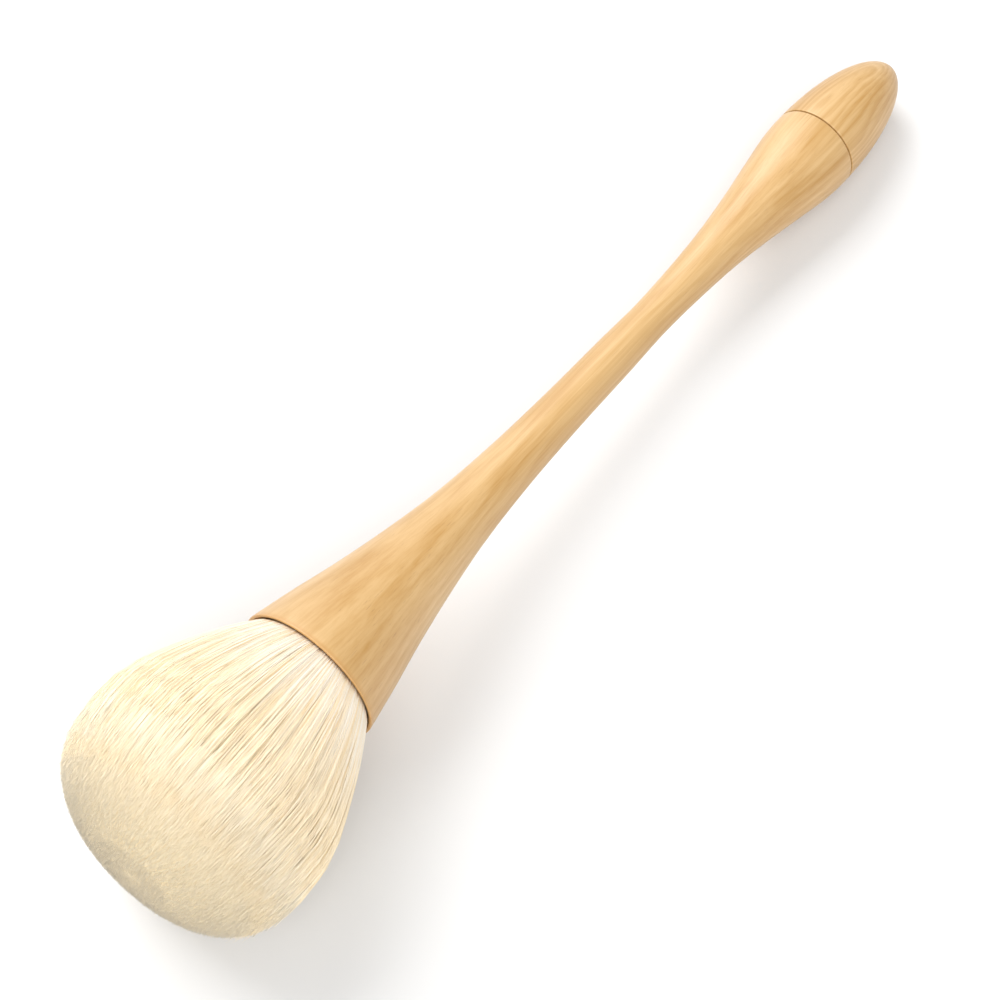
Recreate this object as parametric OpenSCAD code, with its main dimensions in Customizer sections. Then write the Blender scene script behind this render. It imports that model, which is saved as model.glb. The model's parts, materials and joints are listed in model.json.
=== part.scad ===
// Neck duster: a soft round bristle head in a slender flared handle with a push-in end cap.
// Each sub-part is drawn upright about the brush's own axis: the mouth of the handle is at zero,
// the bristles are above it and the handle is below. lay() then lays the whole brush on its side,
// where it rests on its end cap and on the bristles, with its bristles towards +X.

/* [Handle] */
// Outside radius of the flared mouth
mouth_r = 13; // [12.5:0.1:14]
// Outside radius of the waist at its thinnest
waist_r = 3.5; // [3.2:0.1:4]
// Outside radius of the bulb at its widest
bulb_r = 8.2; // [8:0.1:9]
// Distance from the mouth to the thinnest part of the waist
waist_at = 92; // [86:1:96]
// Distance from the mouth to the widest part of the bulb, where the cap's seam runs
bulb_at = 140; // [138:1:146]
// Wall thickness around the cup
wall = 1.5; // [1.3:0.1:1.6]
// Radius of the rounded edge of the mouth
lip_round = 0.25; // [0.15:0.05:0.3]
// Thickness of the wall at the very edge of the mouth
lip_wall = 0.5; // [0.5:0.1:1]
// Depth of the bevel that thins the wall there
lip_bevel = 1.2; // [0.8:0.1:1.4]
// Depth of the moulded hollow behind the mouth
front_core = 46; // [30:1:50]

/* [End cap] */
// Length of the dome outside the seam
dome_len = 24; // [18:0.5:28]
// Width of the open seam between the cap and the handle
seam_gap = 0.3; // [0.3:0.05:0.5]
// Radius of the bore that takes the cap's spigot
spigot_bore_r = 6.5; // [6.3:0.1:6.6]
// Radial clearance of the spigot in its bore
spigot_fit = 0.05; // [0.02:0.01:0.1]
// Length of the spigot inside the seam
spigot_len = 6.5; // [5:0.5:7]
// Wall thickness of the cap
cap_wall = 1.4; // [1:0.1:1.6]

/* [Balance weight] */
// Radius of the bore that takes the counterweight
weight_bore_r = 4.2; // [3.6:0.1:4.2]
// Length of the counterweight
weight_len = 11; // [8:0.5:11]
// Radial clearance of the counterweight
weight_fit = 0.05; // [0.02:0.01:0.1]
// Thickness of the foam disc
foam_t = 1.6; // [1:0.1:2]
// Radial clearance of the foam disc in the spigot's bore
foam_fit = 0.1; // [0.05:0.05:0.3]
// Gap between the foam disc and the end of the spigot
foam_gap = 0.4; // [0.3:0.1:0.8]

/* [Bristle knot] */
// Depth of the tapered seat for the cup
seat_depth = 18; // [16:0.5:20]
// Radius of the seat at its inner end
seat_end_r = 7.6; // [7.4:0.1:7.7]
// Distance of the cup's edge behind the mouth
cup_set_back = 1.5; // [1:0.1:2.5]
// Wall thickness of the cup
cup_wall = 0.5; // [0.4:0.05:0.6]
// Gap around the cup, filled by the glue over part of its length
glue_gap = 0.15; // [0.1:0.01:0.2]
// Thickness of the resin plug
resin_t = 5; // [4:0.5:6]
// Diameter of the binding thread
thread_d = 0.8; // [0.6:0.1:0.9]
// Number of turns of binding thread
thread_turns = 4; // [3:1:5]
// Radius of the bundle inside the binding
bundle_r = 7.4; // [7:0.1:7.5]

/* [Bristle head] */
// Radius of the bristles where they leave the mouth
neck_r = 12.1; // [11.6:0.1:12.2]
// Radius of the head at its widest
head_r = 22.7; // [22:0.1:25]
// Distance from the mouth to the widest part of the head
head_wide_at = 25; // [22:0.5:28]
// Distance from the mouth to the tip of the head
head_len = 44; // [40:0.5:50]

/* [Resting pose] */
// Angle of the brush's axis to the table
lie_angle = 4.7; // [4.4:0.1:4.8]

/* [Hidden] */
$fn = 96;

// Spacing of the points along the handle's outline
step = 3;
// Turn between the points of a domed outline, in degrees
arc_step = 5;
// Roundness of the head's dome along the axis and across it; 2 and 2 would be an ellipse
dome_power = 2.7;
dome_power_across = 2.5;
// Height of the chamfer at the end of the spigot and of the weight
chamfer = 0.5;
// Narrowing behind the seat, which stops the cup
ledge = 0.8;
// Distances of the ends of the glue ring from the mouth
glue_from = 4;
glue_to = 10;
// Radial clearance of the bristles at the cup's edge
root_fit = 0.125;
// Distance between the turns of thread, a little under its diameter
thread_pitch = 0.94 * thread_d;

// Outlines as [share of the length, share of the rise]
flare = [[0, 1], [0.09, 0.824], [0.17, 0.645], [0.28, 0.438], [0.41, 0.243], [0.56, 0.118],
         [0.72, 0.055], [0.87, 0.028], [1, 0]];
swell = [[0.33, 0.16], [0.54, 0.405], [0.75, 0.74], [0.9, 0.97], [1, 1]];
puff = [[0, 0], [0.2, 0.32], [0.4, 0.56], [0.6, 0.77], [0.8, 0.945], [1, 1]];

// Stations [distance, radius] of the handle behind the mouth and of the head in front of it
handle_stations = concat(
    [for (p = flare) [p[0] * waist_at, waist_r + p[1] * (mouth_r - waist_r)]],
    [for (p = swell) [waist_at + p[0] * (bulb_at - waist_at), waist_r + p[1] * (bulb_r - waist_r)]]);
head_stations = [for (p = puff) [p[0] * head_wide_at, neck_r + p[1] * (head_r - neck_r)]];

// A smooth curve through stations, level at its last one
function span_at(p, x, i = 0) = i >= len(p) - 2 || x <= p[i + 1][0] ? i : span_at(p, x, i + 1);
function slope_at(p, i) = i == len(p) - 1 ? 0
    : let (a = p[max(i - 1, 0)], b = p[i + 1]) (b[1] - a[1]) / (b[0] - a[0]);
function smooth(p, x) = let (
        i = span_at(p, x), a = p[i], b = p[i + 1], h = b[0] - a[0], t = (x - a[0]) / h)
    a[1] * (2 * t * t * t - 3 * t * t + 1) + b[1] * (3 * t * t - 2 * t * t * t)
    + h * (slope_at(p, i) * (t * t * t - 2 * t * t + t) + slope_at(p, i + 1) * (t * t * t - t * t));
function handle_r(x) = smooth(handle_stations, x);

// Key distances behind the mouth
handle_end = bulb_at - seam_gap / 2;
cap_start = bulb_at + seam_gap / 2;
spigot_end = cap_start - spigot_len;
foam_top = spigot_end - foam_gap;
bore_floor = foam_top - foam_t;
weight_start = bore_floor - weight_len;
cup_floor = seat_depth;
resin_top = cup_floor - cup_wall - resin_t;
binding_end = resin_top - thread_turns * thread_pitch;

// The tapered seat, the cup in it and the cup's inside, at a distance behind the mouth
seat_mouth_r = mouth_r - wall;
function seat_r(x) = seat_mouth_r + (seat_end_r - seat_mouth_r) * x / seat_depth;
function cup_r(x) = seat_r(x) - glue_gap;
function cup_inside_r(x) = cup_r(x) - cup_wall;

// Outlines as [radius, height above the mouth]
handle_outside = concat(
    [for (a = [0:15:90]) [mouth_r - lip_round * (1 - sin(a)), -lip_round * (1 - cos(a))]],
    [for (x = [step:step:handle_end - step / 2]) [handle_r(x), -x]],
    [[handle_r(handle_end), -handle_end]]);
cap_outside = [for (a = [0:arc_step:90]) [bulb_r * cos(a), -cap_start - dome_len * sin(a)]];
head_flare = [for (x = [0:2.5:head_wide_at - 1]) [smooth(head_stations, x), x]];
head_dome = [for (a = [0:arc_step:90]) [
    head_r * pow(cos(a), 2 / dome_power_across),
    head_wide_at + (head_len - head_wide_at) * pow(sin(a), 2 / dome_power)]];

// Height of the mouth's centre above the table, and its place along it
rest_z = max([for (p = concat(handle_outside, cap_outside)) p[0] * cos(lie_angle) - p[1] * sin(lie_angle)]);
head_x = max([for (p = head_dome) p[1] * cos(lie_angle) + p[0] * sin(lie_angle)]);
tail_x = min([for (p = cap_outside) p[1] * cos(lie_angle) - p[0] * sin(lie_angle)]);
mouth_x = -(head_x + tail_x) / 2;

module lay() {
    translate([mouth_x, 0, rest_z]) rotate([0, 90 - lie_angle, 0]) children();
}

// A solid turned from an outline of [radius, height]
module turned(outline) {
    lay() rotate_extrude() polygon(outline);
}

// Hollow trumpet, solid waist and bored bulb, in one moulding
module handle_shell() {
    core_back = [for (x = [front_core:-4:seat_depth]) [handle_r(x) - wall - ledge, -x]];
    color("burlywood") turned(concat(
        [[0, -front_core]],
        core_back,
        [[handle_r(seat_depth) - wall - ledge, -seat_depth], [seat_end_r, -seat_depth],
         [seat_r(lip_bevel), -lip_bevel], [mouth_r - lip_wall, 0]],
        handle_outside,
        [[spigot_bore_r, -handle_end], [spigot_bore_r, -bore_floor],
         [weight_bore_r, -bore_floor], [weight_bore_r, -weight_start], [0, -weight_start]]));
}

// Hollow dome with a spigot that pushes into the bulb
module end_cap() {
    spigot_r = spigot_bore_r - spigot_fit;
    hollow_r = spigot_r - cap_wall;
    hollow = [for (a = [90:-arc_step:0]) [
        hollow_r * cos(a), -cap_start - (dome_len - cap_wall) * sin(a)]];
    color("burlywood") turned(concat(
        cap_outside,
        hollow,
        [[hollow_r, -spigot_end], [spigot_r - chamfer, -spigot_end],
         [spigot_r, -spigot_end - chamfer], [spigot_r, -cap_start]]));
}

// Steel slug in the narrow bore at the bottom of the bulb
module counterweight() {
    r = weight_bore_r - weight_fit;
    color("silver") turned([
        [0, -weight_start], [r - chamfer, -weight_start], [r, -weight_start - chamfer],
        [r, -bore_floor + chamfer], [r - chamfer, -bore_floor], [0, -bore_floor]]);
}

// Foam disc at the bottom of the spigot's bore, which keeps the slug from rattling
module foam_disc() {
    r = spigot_bore_r - foam_fit;
    color("dimgray") turned([[0, -bore_floor], [r, -bore_floor], [r, -foam_top], [0, -foam_top]]);
}

// Thin tapered cup that holds the bristle roots
module bristle_cup() {
    floor_top = cup_floor - cup_wall;
    color("silver") turned([
        [0, -cup_floor], [cup_r(cup_floor), -cup_floor], [cup_r(cup_set_back), -cup_set_back],
        [cup_inside_r(cup_set_back), -cup_set_back], [cup_inside_r(floor_top), -floor_top],
        [0, -floor_top]]);
}

// Cured resin in the bottom of the cup
module knot_resin() {
    floor_top = cup_floor - cup_wall;
    color("peru") turned([
        [0, -floor_top], [cup_inside_r(floor_top), -floor_top],
        [cup_inside_r(resin_top), -resin_top], [0, -resin_top]]);
}

// Turns of thread around the bundle, just above the resin
module binding_thread() {
    color("white") lay() rotate_extrude() for (i = [0:thread_turns - 1])
        translate([bundle_r + thread_d / 2, -resin_top + thread_d / 2 + i * thread_pitch])
            circle(d = thread_d, $fn = 24);
}

// Band of adhesive between the cup and its seat
module glue_ring() {
    color("khaki") turned([
        [seat_r(glue_to), -glue_to], [seat_r(glue_from), -glue_from],
        [cup_r(glue_from), -glue_from], [cup_r(glue_to), -glue_to]]);
}

// Whole tuft as one closed solid, pressed flat where it lies on the table
module bristle_head() {
    above = 4 * head_r;
    color("ivory") intersection() {
        turned(concat(
            [[0, -resin_top], [bundle_r, -resin_top], [bundle_r, -binding_end],
             [cup_inside_r(cup_set_back) - root_fit, -cup_set_back]],
            head_flare,
            head_dome));
        translate([-above * 2, -above / 2, 0]) cube([above * 4, above, above]);
    }
}

handle_shell();
end_cap();
counterweight();
foam_disc();
bristle_cup();
knot_resin();
binding_thread();
glue_ring();
bristle_head();
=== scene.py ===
"""Neck duster brush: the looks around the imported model.

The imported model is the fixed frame. Each class below builds one sub-assembly of the brush about
the brush's own axis, in millimetres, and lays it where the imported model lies.
"""

import json
import logging
import math
from dataclasses import dataclass, field
from enum import Enum
from typing import Iterable, Sequence

import bmesh
import bpy
import numpy as np
from mathutils import Matrix, Vector


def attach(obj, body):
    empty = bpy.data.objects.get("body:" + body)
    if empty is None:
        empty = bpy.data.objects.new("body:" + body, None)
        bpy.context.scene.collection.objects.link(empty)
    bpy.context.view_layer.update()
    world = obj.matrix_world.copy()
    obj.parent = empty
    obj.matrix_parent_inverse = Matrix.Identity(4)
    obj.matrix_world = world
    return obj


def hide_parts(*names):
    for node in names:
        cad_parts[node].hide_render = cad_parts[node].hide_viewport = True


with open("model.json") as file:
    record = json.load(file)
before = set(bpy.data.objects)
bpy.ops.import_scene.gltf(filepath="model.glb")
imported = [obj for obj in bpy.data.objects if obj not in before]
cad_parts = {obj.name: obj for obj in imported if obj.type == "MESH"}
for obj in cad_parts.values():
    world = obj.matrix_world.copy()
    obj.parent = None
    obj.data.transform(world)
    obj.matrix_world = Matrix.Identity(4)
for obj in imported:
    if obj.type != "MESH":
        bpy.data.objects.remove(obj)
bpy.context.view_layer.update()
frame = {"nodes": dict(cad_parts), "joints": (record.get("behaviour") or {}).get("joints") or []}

log = logging.getLogger("neck_duster")
MM = 0.001
TURN_STEPS = 112
# Outward share of a normal below which a vertex belongs to a bore or a hollow
FACES_AXIS = -0.1
STRAND_MAP = "OFBake"
Colour = tuple[float, float, float]
Outline = list[tuple[float, float]]


class Body(Enum):
    """The bodies that pieces ride on."""

    HANDLE = "handle"
    CAP = "cap"


class Slot(Enum):
    """The record's material slots."""

    HANDLE_WOOD = "wood_look_body"
    CAP_WOOD = "wood_look_cap"
    STEEL = "plain_steel"
    FOAM = "dark_foam"
    ALUMINIUM = "thin_aluminium"
    RESIN = "amber_resin"
    THREAD = "cotton_thread"
    GLUE = "clear_glue"
    BRISTLE = "cream_bristle"


# ---------------------------------------------------------------------------------------------
# Where the brush lies
# ---------------------------------------------------------------------------------------------


@dataclass(frozen=True)
class BrushAxis:
    """The brush's own axis in the row frame.

    Attributes:
        mouth: centre of the handle's mouth, in metres.
        ahead: unit vector from the mouth towards the tip of the bristles.
    """

    mouth: Vector
    ahead: Vector

    @classmethod
    def of_frame(cls) -> "BrushAxis":
        """Reads the axis from the cap's joint and the mouth from the handle's own vertices.

        Returns:
            The axis that every piece of the brush is turned about.
        """
        pull = next(j for j in frame["joints"] if j["name"] == "cap_pull")
        ahead = -Vector(pull["axis"]).normalized()
        up = Vector((-ahead.z, 0, ahead.x))
        places = [v.co for v in frame["nodes"]["handle_shell"].data.vertices]
        along = [p.dot(ahead) for p in places]
        front = max(along)
        rim = [p.dot(up) for p, s in zip(places, along) if front - s < 0.01 * MM]
        height = (max(rim) + min(rim)) / 2
        return cls(ahead * front + up * height, ahead)

    @property
    def up(self) -> Vector:
        """Unit vector across the axis, as near to straight up as it can be."""
        return Vector((-self.ahead.z, 0, self.ahead.x))

    @property
    def matrix(self) -> Matrix:
        """Takes millimetres about the brush's axis to metres in the row frame."""
        side = self.up.cross(self.ahead)
        turn = Matrix((side, self.up, self.ahead)).transposed().to_4x4()
        return Matrix.Translation(self.mouth) @ turn @ Matrix.Scale(MM, 4)

    def rings(self, node: str) -> Outline:
        """Reads a turned CAD node's outside as one radius for each of its rings.

        Vertices that face the axis belong to a bore or a hollow, and are left out.

        Args:
            node: name of the CAD node.

        Returns:
            (height, radius) pairs in millimetres, in order of height.
        """
        back = self.matrix.inverted()
        turn = back.to_3x3().normalized()
        widest: dict[float, float] = {}
        for vertex in frame["nodes"][node].data.vertices:
            p, facing = back @ vertex.co, turn @ vertex.normal
            radius = math.hypot(p.x, p.y)
            if p.x * facing.x + p.y * facing.y < FACES_AXIS * radius:
                continue
            height = round(p.z, 2)
            widest[height] = max(widest.get(height, 0.0), radius)
        return sorted(widest.items())

    def span(self, node: str) -> tuple[float, float]:
        """The lowest and highest heights of a CAD node, in millimetres."""
        rings = self.rings(node)
        return rings[0][0], rings[-1][0]


AXIS = BrushAxis.of_frame()


@dataclass(frozen=True)
class Curve:
    """A smooth curve through stations.

    Attributes:
        stations: (place, value) pairs in order of place.
    """

    stations: tuple[tuple[float, float], ...]

    @classmethod
    def through(cls, pairs: Iterable[tuple[float, float]], apart: float = 1.5) -> "Curve":
        """Makes a curve through pairs, leaving out those closer together than apart.

        Args:
            pairs: (place, value) pairs in order of place.
            apart: the least distance between two stations.

        Returns:
            The curve.
        """
        kept: list[tuple[float, float]] = []
        for pair in pairs:
            if not kept or pair[0] - kept[-1][0] >= apart:
                kept.append(pair)
        return cls(tuple(kept))

    def at(self, places: np.ndarray) -> np.ndarray:
        """The curve's value at each place, by cubic pieces that meet in direction.

        Args:
            places: where to read the curve.

        Returns:
            One value for each place.
        """
        x, y = np.array(self.stations).T
        slope = np.gradient(y, x)
        spot = np.clip(np.asarray(places, float), x[0], x[-1])
        i = np.clip(np.searchsorted(x, spot) - 1, 0, len(x) - 2)
        h = x[i + 1] - x[i]
        t = (spot - x[i]) / h
        return (y[i] * (2 * t**3 - 3 * t**2 + 1) + y[i + 1] * (3 * t**2 - 2 * t**3)
                + h * (slope[i] * (t**3 - 2 * t**2 + t) + slope[i + 1] * (t**3 - t**2)))


# ---------------------------------------------------------------------------------------------
# Shader node groups, each built once
# ---------------------------------------------------------------------------------------------


class Nodes:
    """Short ways to add and join nodes in one tree."""

    def __init__(self, tree: bpy.types.NodeTree) -> None:
        """Keeps the tree that nodes are added to."""
        self.tree = tree

    def add(self, kind: str, inputs: dict | None = None, **settings) -> bpy.types.Node:
        """Adds a node.

        Args:
            kind: the node's type, without its ShaderNode prefix where it has one.
            inputs: what each input takes: a socket to link, or a value.
            settings: properties of the node.

        Returns:
            The new node.
        """
        full = kind if kind.startswith("Node") else f"ShaderNode{kind}"
        node = self.tree.nodes.new(full)
        for name, value in settings.items():
            setattr(node, name, value)
        for name, value in (inputs or {}).items():
            self.feed(node.inputs[name], value)
        return node

    def feed(self, socket: bpy.types.NodeSocket, value: object) -> None:
        """Links value to socket if it is a socket, and sets it otherwise."""
        if isinstance(value, bpy.types.NodeSocket):
            self.tree.links.new(value, socket)
        else:
            socket.default_value = value

    def group(self, tree: bpy.types.NodeTree, inputs: dict | None = None) -> bpy.types.Node:
        """Places a node group with its own values."""
        return self.add("Group", inputs, node_tree=tree)

    def maths(self, operation: str, *values: object, clamp: bool = False) -> bpy.types.NodeSocket:
        """The result of a Math node on up to three values."""
        node = self.add("Math", dict(enumerate(values)), operation=operation, use_clamp=clamp)
        return node.outputs[0]

    def blend(self, share: object, first: object, second: object, how: str = "MIX") -> bpy.types.NodeSocket:
        """The colour between first and second at share."""
        node = self.add("Mix", data_type="RGBA", blend_type=how)
        for name, value in (("Factor_Float", share), ("A_Color", first), ("B_Color", second)):
            socket = next(s for s in node.inputs if s.identifier == name)
            self.feed(socket, value)
        return next(s for s in node.outputs if s.identifier == "Result_Color")

    def span(self, value: object, low: float, high: float, to_low: float = 0.0, to_high: float = 1.0
             ) -> bpy.types.NodeSocket:
        """Value mapped from low..high to to_low..to_high, smoothly and within those bounds."""
        node = self.add("MapRange", {"Value": value, "From Min": low, "From Max": high,
                                     "To Min": to_low, "To Max": to_high},
                        interpolation_type="SMOOTHSTEP")
        return node.outputs["Result"]


@dataclass(frozen=True)
class Socket:
    """One named socket of a node group."""

    name: str
    kind: str = "NodeSocketFloat"
    value: float | tuple | None = None


def new_group(name: str, inputs: Sequence[Socket], outputs: Sequence[Socket]
              ) -> tuple[Nodes, bpy.types.Node, bpy.types.Node, bpy.types.NodeTree]:
    """Starts a shader node group with named sockets.

    Args:
        name: the group's name.
        inputs: its inputs.
        outputs: its outputs.

    Returns:
        The node builder, the group's input and output nodes, and the group.
    """
    tree = bpy.data.node_groups.new(name, "ShaderNodeTree")
    for side, sockets in (("INPUT", inputs), ("OUTPUT", outputs)):
        for socket in sockets:
            made = tree.interface.new_socket(name=socket.name, in_out=side, socket_type=socket.kind)
            if socket.value is not None:
                made.default_value = socket.value
    nodes = Nodes(tree)
    return nodes, nodes.add("NodeGroupInput"), nodes.add("NodeGroupOutput"), tree


def build_place_group() -> bpy.types.NodeTree:
    """Object coordinates as millimetres along and around the brush's axis.

    Returns:
        A group that puts out Place, whose X runs along the axis, and Around, its angle in turns.
    """
    nodes, _, out, tree = new_group(
        "place_on_brush", [], [Socket("Place", "NodeSocketVector"), Socket("Around")])
    here = nodes.add("TexCoord").outputs["Object"]
    lean = math.atan2(AXIS.ahead.z, AXIS.ahead.x)
    centred = nodes.add("VectorMath", {0: here, 1: tuple(AXIS.mouth)}, operation="SUBTRACT").outputs[0]
    turned = nodes.add("Mapping", {"Vector": centred, "Rotation": (0, lean, 0),
                                   "Scale": (1 / MM,) * 3})
    parts = nodes.add("SeparateXYZ", {"Vector": turned.outputs[0]})
    around = nodes.maths("ARCTAN2", parts.outputs["Z"], parts.outputs["Y"])
    nodes.feed(out.inputs["Place"], turned.outputs[0])
    nodes.feed(out.inputs["Around"], nodes.maths("DIVIDE", around, math.tau))
    return tree


def build_grain_group() -> bpy.types.NodeTree:
    """Wood grain: growth rings, long fibres and short pores in a solid block.

    Returns:
        A group that puts out Rings, Fibre, Patch and Pores masks, and a Height for bump.
    """
    nodes, into, out, tree = new_group(
        "wood_grain",
        [Socket("Place", "NodeSocketVector"), Socket("Heart", "NodeSocketVector", (0.0, 0.0, 0.0)),
         Socket("Ring Gap", value=2.2), Socket("Swirl", value=1.0)],
        [Socket("Rings"), Socket("Fibre"), Socket("Patch"), Socket("Pores"), Socket("Height")])
    here = nodes.add("SeparateXYZ", {"Vector": into.outputs["Place"]})
    square = [nodes.maths("MULTIPLY", here.outputs[a], here.outputs[a]) for a in ("Y", "Z")]
    away = nodes.maths("POWER", nodes.maths("ADD", nodes.maths("ADD", *square), 0.2), 0.25)
    widen = nodes.maths("DIVIDE", math.sqrt(8.0), away)
    wrapped = nodes.add("CombineXYZ", {"X": here.outputs["X"],
                                       "Y": nodes.maths("MULTIPLY", here.outputs["Y"], widen),
                                       "Z": nodes.maths("MULTIPLY", here.outputs["Z"], widen)})
    place = nodes.add("VectorMath", {0: wrapped.outputs[0], 1: into.outputs["Heart"]},
                      operation="SUBTRACT").outputs[0]

    def noise(stretch: tuple, detail: float, rough: float) -> bpy.types.NodeSocket:
        """Noise in cells of the stated stretch for each millimetre."""
        scaled = nodes.add("VectorMath", {0: place, 1: stretch}, operation="MULTIPLY").outputs[0]
        return nodes.add("TexNoise", {"Vector": scaled, "Scale": 1.0, "Detail": detail,
                                      "Roughness": rough}).outputs["Fac"]

    drift = nodes.maths("SUBTRACT", noise((0.018, 0.08, 0.08), 2.0, 0.5), 0.5)
    drift = nodes.maths("MULTIPLY", drift, into.outputs["Swirl"])
    parts = nodes.add("SeparateXYZ", {"Vector": place})
    across = nodes.add("CombineXYZ", {"X": 0.0, "Y": parts.outputs["Y"], "Z": parts.outputs["Z"]})
    depth = nodes.add("VectorMath", {0: across.outputs[0]}, operation="LENGTH").outputs["Value"]
    shifted = nodes.maths("ADD", depth, nodes.maths("MULTIPLY", drift, 14.0))
    phase = nodes.maths("FRACT", nodes.maths("DIVIDE", shifted, into.outputs["Ring Gap"]))
    late = nodes.span(phase, 0.0, 0.78)
    early = nodes.span(phase, 0.74, 1.0, 1.0, 0.0)
    rings = nodes.maths("MULTIPLY", late, early)
    broad = nodes.span(noise((0.02, 0.9, 0.9), 3.0, 0.6), 0.34, 0.68)
    thin = nodes.span(noise((0.04, 3.2, 3.2), 3.0, 0.6), 0.38, 0.66)
    fibre = nodes.maths("ADD", nodes.maths("MULTIPLY", broad, 0.55), nodes.maths("MULTIPLY", thin, 0.45))
    patch = nodes.span(noise((0.03, 0.16, 0.16), 3.0, 0.5), 0.30, 0.68)
    pores = nodes.span(noise((0.13, 4.2, 4.2), 2.0, 0.5), 0.64, 0.76)
    raised, sunk = nodes.maths("MULTIPLY", fibre, 0.35), nodes.maths("MULTIPLY", pores, 0.6)
    height = nodes.maths("SUBTRACT", raised, sunk)
    for name, value in (("Rings", rings), ("Fibre", fibre), ("Patch", patch), ("Pores", pores),
                        ("Height", height)):
        nodes.feed(out.inputs[name], value)
    return tree


def build_surface_group() -> bpy.types.NodeTree:
    """The small unevenness of any made surface.

    Returns:
        A group that puts out a Shade factor, a Roughness and a Height for bump.
    """
    nodes, into, out, tree = new_group(
        "made_surface",
        [Socket("Place", "NodeSocketVector"), Socket("Cell", value=1.0),
         Socket("Roughness", value=0.5), Socket("Spread", value=0.1)],
        [Socket("Shade"), Socket("Roughness"), Socket("Height")])
    per_mm = nodes.maths("DIVIDE", 1.0, into.outputs["Cell"])
    scaled = nodes.add("VectorMath", {0: into.outputs["Place"], "Scale": per_mm},
                       operation="SCALE").outputs[0]
    fine = nodes.add("TexNoise", {"Vector": scaled, "Scale": 1.0, "Detail": 3.0}).outputs["Fac"]
    broad = nodes.add("TexNoise", {"Vector": scaled, "Scale": 0.11, "Detail": 2.0}).outputs["Fac"]
    centred = nodes.maths("SUBTRACT", broad, 0.5)
    spread = nodes.maths("MULTIPLY", centred, into.outputs["Spread"])
    nodes.feed(out.inputs["Shade"], broad)
    nodes.feed(out.inputs["Roughness"],
               nodes.maths("ADD", into.outputs["Roughness"], spread, clamp=True))
    nodes.feed(out.inputs["Height"], fine)
    return tree


PLACE = build_place_group()
GRAIN = build_grain_group()
SURFACE = build_surface_group()


# ---------------------------------------------------------------------------------------------
# Finishes
# ---------------------------------------------------------------------------------------------


def rgba(colour: Colour) -> tuple[float, float, float, float]:
    """The colour with full alpha."""
    return (*colour, 1.0)


class Finish:
    """What the finishes share: a material with one Principled shader."""

    name: str

    def start(self) -> tuple[bpy.types.Material, Nodes, bpy.types.Node]:
        """Starts the finish's material.

        Returns:
            The material, its node builder and its shader.
        """
        material = bpy.data.materials.new(self.name)
        material.use_nodes = True
        nodes = Nodes(material.node_tree)
        shader = next(n for n in material.node_tree.nodes if n.type == "BSDF_PRINCIPLED")
        return material, nodes, shader

    @staticmethod
    def bump(nodes: Nodes, shader: bpy.types.Node, height: object, depth_mm: float, strength: float) -> None:
        """Feeds the shader's normal from a height.

        Args:
            nodes: the material's node builder.
            shader: the shader to feed.
            height: the height's socket.
            depth_mm: how deep a height of one is, in millimetres.
            strength: the share of the bump that is used.
        """
        node = nodes.add("Bump", {"Height": height, "Distance": depth_mm * MM, "Strength": strength})
        nodes.feed(shader.inputs["Normal"], node.outputs[0])

    def material(self) -> bpy.types.Material:
        """Builds the finish's material."""
        raise NotImplementedError


@dataclass(frozen=True)
class WoodLook(Finish):
    """Satin wood-grain film on a moulding.

    Attributes:
        name: the material's name.
        pale: colour of the early wood.
        tan: colour of the late wood and the fibres.
        deep: colour of pores and of the darkest patches.
        rim: darker, more orange colour of the band at the lip, painted shade of its rounded edge.
        heart: centre of the growth rings, in millimetres from the mouth.
        ring_gap: distance between growth rings.
        ring_share: how much the growth rings show.
        swirl: how far the rings wander.
    """

    name: str
    pale: Colour = (0.64, 0.415, 0.18)
    tan: Colour = (0.45, 0.232, 0.045)
    deep: Colour = (0.30, 0.14, 0.035)
    rim: Colour = (0.52, 0.27, 0.07)
    heart: Colour = (0.0, 17.0, -22.0)
    ring_gap: float = 1.9
    ring_share: float = 0.24
    swirl: float = 0.8

    def material(self) -> bpy.types.Material:
        """Builds grain in three tones, with painted shade at the lip and a little relief in its pores."""
        material, nodes, shader = self.start()
        place = nodes.group(PLACE).outputs["Place"]
        grain = nodes.group(GRAIN, {"Place": place, "Heart": self.heart,
                                    "Ring Gap": self.ring_gap, "Swirl": self.swirl})
        surface = nodes.group(SURFACE, {"Place": place, "Cell": 0.35, "Roughness": 0.52, "Spread": 0.12})
        share = nodes.maths("MULTIPLY", grain.outputs["Rings"], self.ring_share)
        for mask, weight in (("Fibre", 0.42), ("Patch", 0.42)):
            share = nodes.maths("ADD", share, nodes.maths("MULTIPLY", grain.outputs[mask], weight))
        colour = nodes.blend(share, rgba(self.pale), rgba(self.tan))
        pore_share = nodes.maths("MULTIPLY", grain.outputs["Pores"], 0.35)
        colour = nodes.blend(pore_share, colour, rgba(self.deep))
        ahead = nodes.add("SeparateXYZ", {"Vector": place}).outputs["X"]
        # Painted shade: the last millimetre before the mouth darkens towards the rim colour, at the rounded
        # lip.
        colour = nodes.blend(nodes.span(ahead, -1.1, -0.3, 0.0, 0.6), colour, rgba(self.rim))
        nodes.feed(shader.inputs["Base Color"], colour)
        nodes.feed(shader.inputs["Roughness"], surface.outputs["Roughness"])
        shader.inputs["Specular IOR Level"].default_value = 0.8
        shader.inputs["Coat Weight"].default_value = 0.6
        shader.inputs["Coat Roughness"].default_value = 0.42
        self.bump(nodes, shader, grain.outputs["Height"], 0.02, 0.4)
        return material


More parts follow.
